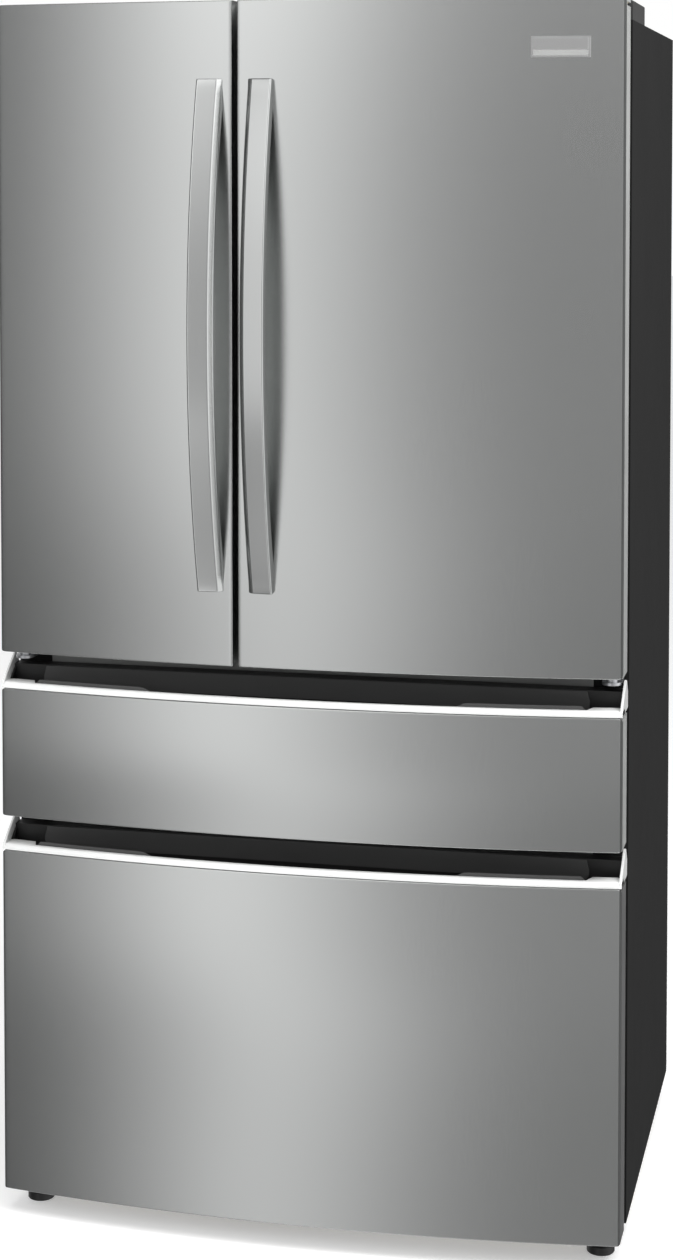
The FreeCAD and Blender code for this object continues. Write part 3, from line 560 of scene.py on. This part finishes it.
def round_rectangle(x0, x1, y0, y1, radius):
    """(x, y) points of a rectangle with rounded corners."""
    steps = 4
    points = []
    for cx, cy, first in ((x1 - radius, y1 - radius, 0), (x0 + radius, y1 - radius, 1),
                          (x0 + radius, y0 + radius, 2), (x1 - radius, y0 + radius, 3)):
        for i in range(steps + 1):
            turn = math.pi / 2 * (first + i / steps)
            points.append((cx + radius * math.cos(turn), cy + radius * math.sin(turn)))
    return points


TUB_WALL = 0.0022
TUB_ROUND = 0.012               # of a tub's upright corners
TUB_DRAFT = 0.004               # its walls lean in by this much towards the floor
RIM_WIDTH = 0.003
RIM_HEIGHT = 0.010
COVE = 0.006                    # radius of the curve between a tub's wall and its floor
COVE_MIDDLE = 0.0018            # the curve's middle stands this far from the corner, along each side


def tub(name, low, high, slot, body, replaced):
    """Moulded open tub: rounded corners, leaning walls, a coved floor and a thick rim."""
    top, floor = high.z, low.z
    inner = TUB_DRAFT + TUB_WALL
    inner_floor = floor + TUB_WALL
    rim = RIM_WIDTH + TUB_WALL
    profile = [(TUB_DRAFT + COVE, floor), (TUB_DRAFT + COVE_MIDDLE, floor + COVE_MIDDLE)]
    profile += [(TUB_DRAFT, floor + COVE), (RIM_WIDTH, top - RIM_HEIGHT)]
    profile += [(0.0003, top - RIM_HEIGHT + 0.001), (0.0, top - 0.001), (0.001, top)]
    profile += [(rim - 0.001, top), (rim, top - 0.001), (inner, floor + 0.008)]
    profile += [(inner + COVE_MIDDLE, inner_floor + COVE_MIDDLE), (inner + COVE, inner_floor)]
    bm = bmesh.new()
    loops = []
    for inset, z in profile:
        sides = (low.x + inset, high.x - inset, low.y + inset, high.y - inset)
        outline = round_rectangle(*sides, TUB_ROUND - inset / 3)
        loops.append([bm.verts.new((x, y, z)) for x, y in outline])
    prism(bm, loops)
    finish_piece(name, bm, slot, body, replaced)


DOOR_BINS = {"left": (0.0, 0.230, 0.480), "right": (0.0, 0.260, 0.520)}    # above a door's lowest bin


def tubs():
    """Door bins and drawer bins."""
    for side, rises in DOOR_BINS.items():
        node = side + "_door_bins"
        low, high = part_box(node)
        height = high.z - low.z - rises[-1]
        for i, rise in enumerate(rises):
            floor = low + Vector((0, 0, rise))
            top = Vector((high.x, high.y, floor.z + height))
            tub("%s_door_bin_%d" % (side, i), floor, top, "clear_plastic", side + "_door", [node])
    for drawer in ("flex_drawer", "freezer_drawer"):
        node = drawer + "_bin"
        low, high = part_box(node)
        slot = next(part["material_slot"] for part in frame["record"]["subparts"] if part["node"] == node)
        tub(drawer + "_tub", low, high, slot, drawer, [node])


# Piece, slot, left, bottom, width and height as shares of the plate, and metres proud of the skin
BADGE_FIELDS = [("badge_plate", "badge_metal", 0.0, 0.0, 1.0, 1.0, 0.0012),
                ("badge_upper_field", "badge_metal", 0.04, 0.40, 0.92, 0.52, 0.0016),
                ("badge_lower_field", "door_grey", 0.04, 0.08, 0.92, 0.27, 0.0015)]
BADGE_ROUND = 0.0004
BADGE_MARGIN = 0.0012           # taken off the plate's width, so that it stays in its box when turned


def badge():
    """Blank plate with two raised fields."""
    low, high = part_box("badge")
    centre = (low + high) / 2
    turn = math.atan2(crown_y(high.x) - crown_y(low.x), high.x - low.x)
    width = (high.x - low.x) / math.cos(turn) - BADGE_MARGIN
    height = high.z - low.z
    skin_y = crown_y(centre.x)
    for name, slot, u, v, du, dv, proud in BADGE_FIELDS:
        bm = bmesh.new()
        corners = [(u, v), (u + du, v), (u + du, v + dv), (u, v + dv)]
        loops = []
        for depth in (0.0, -proud):
            loops.append([bm.verts.new(((a - 0.5) * width, depth, (b - 0.5) * height)) for a, b in corners])
        prism(bm, loops)
        bmesh.ops.rotate(bm, verts=bm.verts, cent=(0, 0, 0), matrix=Matrix.Rotation(turn, 3, "Z"))
        bmesh.ops.translate(bm, verts=bm.verts, vec=(centre.x, skin_y, centre.z))
        finish_piece(name, bm, slot, "right_door", ["badge"], BADGE_ROUND, 2)


# ---------------------------------------------------------------- stage and light

FLOOR_SIZE = 30.0
FLOOR_GLOW = 0.32               # lifts the floor to the background's white


def make_floor():
    """Pale floor that reflections don't see."""
    bm = bmesh.new()
    bmesh.ops.create_grid(bm, x_segments=1, y_segments=1, size=FLOOR_SIZE)
    mesh = bpy.data.meshes.new("floor")
    bm.to_mesh(mesh)
    bm.free()
    surface = Surface("pale_floor", Emission_Color=(1, 1, 1, 1), Emission_Strength=FLOOR_GLOW)
    soft = surface.noise(1.5, 2.0)
    surface.colour(soft, (0.86, 0.86, 0.86), (0.88, 0.88, 0.88))
    surface.roughness(soft, 0.7, 0.8)
    mesh.materials.append(surface.material)
    floor = bpy.data.objects.new("floor", mesh)
    floor.visible_glossy = False
    bpy.context.scene.collection.objects.link(floor)


# Brightness of the studio in reflections: degrees from the front, positive to the right
STUDIO = [(-180, 0.15), (-150, 0.5), (-122, 0.9), (-100, 0.35), (-70, 0.12), (-44, 0.10), (-36, 0.19),
          (-28, 0.65), (-20, 1.34), (-13, 0.90), (-5, 0.42), (3, 0.30), (18, 0.32), (38, 0.80), (58, 0.75),
          (80, 1.25), (102, 1.25), (125, 0.3), (150, 0.12), (180, 0.15)]
# and its share at each height: degrees above the horizon
HEIGHTS = [(-90, 1.5), (-62, 1.2), (-45, 0.80), (-22, 0.80), (-12, 1.0), (3, 1.0), (30, 1.5), (90, 1.4)]
LEAN = 4.5                      # the studio's pattern turns by this many degrees
# and its share at each height
LEANS = [(-90, 0.0), (-34, 0.0), (-24, 0.6), (-18, 1.0), (-15.5, 1.0), (-12.8, 0.0), (90, 0.0)]
DIFFUSE_LEVEL = 0.5             # brightness of the even light on matt surfaces


def ramp_of(tree, value, stops, first, last):
    """A grey ramp through (angle, level) stops, over an angle in radians."""
    unit = tree.nodes.new("ShaderNodeMapRange")
    unit.inputs["From Min"].default_value = math.radians(first)
    unit.inputs["From Max"].default_value = math.radians(last)
    tree.links.new(value, unit.inputs["Value"])
    ramp = tree.nodes.new("ShaderNodeValToRGB")
    ramp.color_ramp.interpolation = "EASE"
    marks = ramp.color_ramp.elements
    while len(marks) < len(stops):
        marks.new(0.5)
    for mark, (angle, level) in zip(marks, stops):
        mark.position = (angle - first) / (last - first)
        mark.color = (level, level, level, 1)
    tree.links.new(unit.outputs["Result"], ramp.inputs["Fac"])
    return ramp.outputs["Color"]


def maths(tree, operation, first, second):
    """A maths node over sockets or numbers."""
    node = tree.nodes.new("ShaderNodeMath")
    node.operation = operation
    for socket, value in zip(node.inputs, (first, second)):
        if isinstance(value, (int, float)):
            socket.default_value = value
        else:
            tree.links.new(value, socket)
    return node.outputs[0]


def blend_colour(tree, factor, first, second, kind="MIX"):
    """Mixes two colours, given as sockets or grey levels."""
    mix = tree.nodes.new("ShaderNodeMixRGB")
    mix.blend_type = kind
    for socket, value in zip(mix.inputs, (factor, first, second)):
        if isinstance(value, (int, float)):
            socket.default_value = value if socket.name == "Fac" else (value, value, value, 1)
        else:
            tree.links.new(value, socket)
    return mix.outputs[0]


def make_world():
    """White to the camera, even light on matt surfaces, and a soft studio in reflections."""
    world = bpy.data.worlds.new("studio")
    bpy.context.scene.world = world
    world.use_nodes = True
    tree = world.node_tree
    split = tree.nodes.new("ShaderNodeSeparateXYZ")
    tree.links.new(tree.nodes.new("ShaderNodeTexCoord").outputs["Generated"], split.inputs[0])
    across, along, up = split.outputs
    turn = maths(tree, "ARCTAN2", across, maths(tree, "MULTIPLY", along, -1.0))
    rise = maths(tree, "ARCSINE", up, 0.0)
    lean = maths(tree, "MULTIPLY", ramp_of(tree, rise, LEANS, -90, 90), math.radians(LEAN))
    around = ramp_of(tree, maths(tree, "SUBTRACT", turn, lean), STUDIO, -180, 180)
    upward = ramp_of(tree, rise, HEIGHTS, -90, 90)
    studio = blend_colour(tree, 1.0, around, upward, "MULTIPLY")
    rays = tree.nodes.new("ShaderNodeLightPath")
    light = blend_colour(tree, rays.outputs["Is Glossy Ray"], DIFFUSE_LEVEL, studio)
    seen = blend_colour(tree, rays.outputs["Is Camera Ray"], light, 1.0)
    tree.links.new(seen, tree.nodes["Background"].inputs["Color"])


def area_light(name, place, target, size, power):
    """Rectangular light at a place, aimed at a target and hidden from reflections."""
    data = bpy.data.lights.new(name, "AREA")
    data.shape = "RECTANGLE"
    data.size, data.size_y = size
    data.energy = power
    light = bpy.data.objects.new(name, data)
    light.location = place
    light.rotation_euler = (Vector(target) - Vector(place)).to_track_quat("-Z", "Y").to_euler()
    light.visible_glossy = False
    bpy.context.scene.collection.objects.link(light)


def make_lights():
    area_light("overhead", (0.3, -1.6, 4.2), (0, 0, 0.9), (3.0, 2.4), 90.0)
    area_light("front_left", (-2.6, -3.4, 2.4), (0, 0, 0.9), (2.0, 2.4), 60.0)
    area_light("right", (1.9, -0.5, 2.7), (0.45, 0, 1.4), (1.2, 1.0), 50.0)


make_camera()
dress_cad()
for door, split_side in (("left", 1), ("right", -1)):
    skin(door + "_door_skin", door + "_door")
    bowed_handle(door + "_handle", door + "_door", split_side)
for drawer in ("flex_drawer", "freezer_drawer"):
    skin(drawer + "_skin", drawer, TOP_RETURN)
    trim(drawer + "_trim", drawer)
    pocket_details(drawer)
tubs()
badge()
make_floor()
make_world()
make_lights()
bpy.context.scene.view_settings.view_transform = "Standard"
